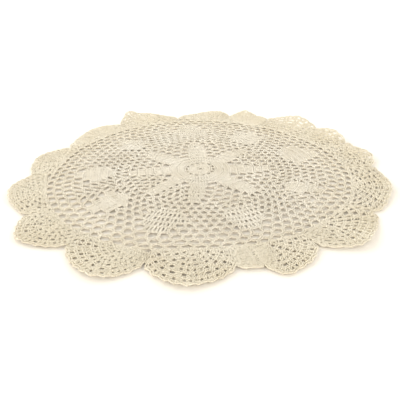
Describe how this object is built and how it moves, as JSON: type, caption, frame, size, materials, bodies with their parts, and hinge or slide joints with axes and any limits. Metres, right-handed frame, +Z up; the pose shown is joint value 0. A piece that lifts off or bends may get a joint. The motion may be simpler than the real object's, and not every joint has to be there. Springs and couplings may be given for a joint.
{
  "type": "crochet doily",
  "caption": "Round crocheted cotton doily, laid flat: a petalled middle, an openwork net with solid hearts, and a border of fans whose back edge lifts in low folds.",
  "frame": {"origin": "middle of the outline on the surface that the doily lies on", "axes": "+Z up from that surface, through the cloth; +X to the right and +Y away from the picture's viewer"},
  "size_m": [0.3722, 0.375, 0.0125],
  "materials": {
    "cream_cotton": "matt, worked cotton yarn"
  },
  "bodies": {
    "root": {"doily": "cream_cotton"}
  },
  "joints": []
}
